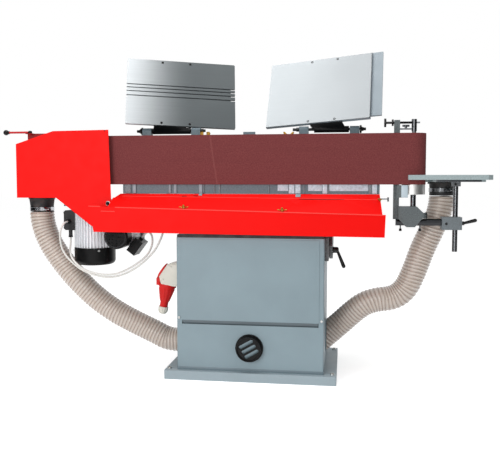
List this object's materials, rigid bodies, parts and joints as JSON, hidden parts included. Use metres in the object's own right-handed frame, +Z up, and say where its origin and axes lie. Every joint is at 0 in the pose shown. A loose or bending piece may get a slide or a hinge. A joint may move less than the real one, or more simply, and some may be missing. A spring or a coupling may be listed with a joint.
{
  "type": "edge sander",
  "caption": "Edge sander with an upright oscillating belt on a tilting head, twin tilting fences, an end table and a sheet-steel stand with dust ducts.",
  "frame": {"origin": "on the floor under the middle of the base pan", "axes": "+X along the belt to the operator's right, +Y away from the operator, +Z up"},
  "size_m": [2.062, 0.47, 1.3208],
  "materials": {
    "cabinet_paint": "fine orange-peel machine enamel, grey-blue",
    "base_paint": "machine enamel, grey-blue, scuffed along the rim",
    "casting_paint": "painted casting, grey-blue",
    "hood_red": "gloss red enamel on folded sheet",
    "abrasive": "coated abrasive cloth, maroon brown grit",
    "black_plastic": "moulded black plastic",
    "knob_black": "glossy black phenolic",
    "red_plastic": "moulded red plastic",
    "white_plastic": "white moulded plastic",
    "rubber_black": "black rubber",
    "hose_clear": "translucent tan spiral hose",
    "cable_white": "white cable jacket",
    "steel": "machined steel",
    "stainless": "brushed stainless sheet",
    "chrome": "polished shaft",
    "alloy": "brushed aluminium",
    "motor_alloy": "die-cast aluminium, silver",
    "brass": "cast brass",
    "dark_paint": "dark grey enamel",
    "table_paint": "light grey-blue enamel"
  },
  "bodies": {
    "stand": {"base_pan": "base_paint", "cabinet": "cabinet_paint", "front_panel": "cabinet_paint", "panel_screws": "steel", "deck_plate": "cabinet_paint", "outlet_port": "black_plastic", "dust_plenum": "steel", "wall_collars": "black_plastic", "trunnion_block": "casting_paint", "quadrant_cheek": "casting_paint", "mains_inlet": "white_plastic", "mains_coupler": "red_plastic", "coupler_gland": "white_plastic", "hose_left": "hose_clear", "hose_right": "hose_clear"},
    "tilt_lock": {"tilt_lever": "knob_black"},
    "lid": {"coupler_lid": "red_plastic"},
    "carrier": {"tilt_shaft": "steel", "saddle": "casting_paint", "quadrant_swing": "casting_paint", "skirt": "hood_red", "skirt_wing_nuts": "brass"},
    "head": {"bed": "casting_paint", "platen": "steel", "belt": "abrasive", "motor_body": "motor_alloy", "motor_cowl": "black_plastic", "motor_box": "black_plastic", "osc_motor": "motor_alloy", "osc_cowl": "black_plastic", "osc_box": "black_plastic", "hood": "hood_red", "hood_back": "hood_red", "hood_bolt": "steel", "hood_outlet": "rubber_black", "outlet_clamp": "stainless", "motor_cable": "cable_white", "osc_cable": "cable_white", "fence_blocks": "casting_paint", "fence_wing_nuts": "brass"},
    "latch": {"hood_lever": "hood_red"},
    "crank": {"eccentric": "steel"},
    "drive": {"drive_drum": "alloy"},
    "tension_slide": {"idler_yoke": "casting_paint", "idler_shaft": "chrome"},
    "idler": {"idler_drum": "alloy"},
    "tracking": {"tracking_screw": "steel"},
    "table_arm": {"table_bar": "steel", "table_block": "dark_paint"},
    "table_lock": {"table_lever": "knob_black"},
    "table": {"table_post": "chrome", "end_table": "table_paint", "table_port": "rubber_black"},
    "left_fence": {"left_plate": "alloy", "left_bracket": "dark_paint"},
    "right_fence": {"right_plate": "stainless", "right_bracket": "dark_paint"},
    "left_lock": {"left_knob": "knob_black"},
    "right_lock": {"right_knob": "knob_black"}
  },
  "joints": [
    {"name": "unit_tilt", "type": "hinge", "parent": "stand", "child": "carrier", "pos_m": [0, 0, 0.65], "axis": [-1, 0, 0], "range_deg": [0, 90], "deforming": ["hose_left", "hose_right"]},
    {"name": "tilt_lock_turn", "type": "hinge", "parent": "stand", "child": "tilt_lock", "pos_m": [0.31, -0.0918, 0.5189], "axis": [1, 0, 0], "range_deg": [0, 60]},
    {"name": "lid_open", "type": "hinge", "parent": "stand", "child": "lid", "pos_m": [-0.403, -0.085, 0.386], "axis": [0, 1, 0], "range_deg": [-50, 0]},
    {"name": "oscillation", "type": "slide", "parent": "carrier", "child": "head", "axis": [0, 0, 1], "range_m": [-0.005, 0.005], "deforming": ["hose_left", "hose_right"]},
    {"name": "crank_turn", "type": "hinge", "parent": "head", "child": "crank", "pos_m": [-0.55, 0, 0.569], "axis": [0, 1, 0], "range_deg": [-57.5, 57.5]},
    {"name": "drive_spin", "type": "hinge", "parent": "head", "child": "drive", "pos_m": [-0.687, -0.0762, 0.88], "axis": [0, 0, 1], "continuous": true},
    {"name": "latch_turn", "type": "hinge", "parent": "head", "child": "latch", "pos_m": [-1.009, -0.002, 1.01], "axis": [0, 0, 1], "range_deg": [0, 80]},
    {"name": "idler_tension", "type": "slide", "parent": "head", "child": "tension_slide", "axis": [1, 0, 0], "range_m": [-0.008, 0], "deforming": ["hose_right"]},
    {"name": "idler_spin", "type": "hinge", "parent": "tension_slide", "child": "idler", "pos_m": [0.638, -0.0962, 0.88], "axis": [0, 0, 1], "continuous": true},
    {"name": "tracking_turn", "type": "hinge", "parent": "tension_slide", "child": "tracking", "pos_m": [0.54, -0.0962, 1.026], "axis": [1, 0, 0], "range_deg": [-180, 180]},
    {"name": "table_reach", "type": "slide", "parent": "tension_slide", "child": "table_arm", "axis": [1, 0, 0], "range_m": [0, 0.06], "deforming": ["hose_right"]},
    {"name": "table_lock_turn", "type": "hinge", "parent": "table_arm", "child": "table_lock", "pos_m": [0.83, -0.092, 0.631], "axis": [1, 0, 0], "range_deg": [-45, 45]},
    {"name": "table_height", "type": "slide", "parent": "table_arm", "child": "table", "axis": [0, 0, 1], "range_m": [-0.06, 0.06], "deforming": ["hose_right"]},
    {"name": "left_fence_tilt", "type": "hinge", "parent": "head", "child": "left_fence", "pos_m": [-0.343, -0.085, 1.004], "axis": [-1, 0, 0], "range_deg": [-19, 26]},
    {"name": "right_fence_tilt", "type": "hinge", "parent": "head", "child": "right_fence", "pos_m": [0.307, -0.085, 1.004], "axis": [-1, 0, 0], "range_deg": [-26, 19]},
    {"name": "left_lock_turn", "type": "hinge", "parent": "head", "child": "left_lock", "pos_m": [-0.472, -0.085, 1.004], "axis": [1, 0, 0], "range_deg": [-180, 180]},
    {"name": "right_lock_turn", "type": "hinge", "parent": "head", "child": "right_lock", "pos_m": [0.434, -0.085, 1.004], "axis": [1, 0, 0], "range_deg": [-180, 180]}
  ],
  "couplings": [
    {"joint": "crank_turn", "follows": "oscillation", "rad_per_m": 200},
    {"joint": "idler_spin", "follows": "drive_spin", "ratio": 1.4444}
  ]
}
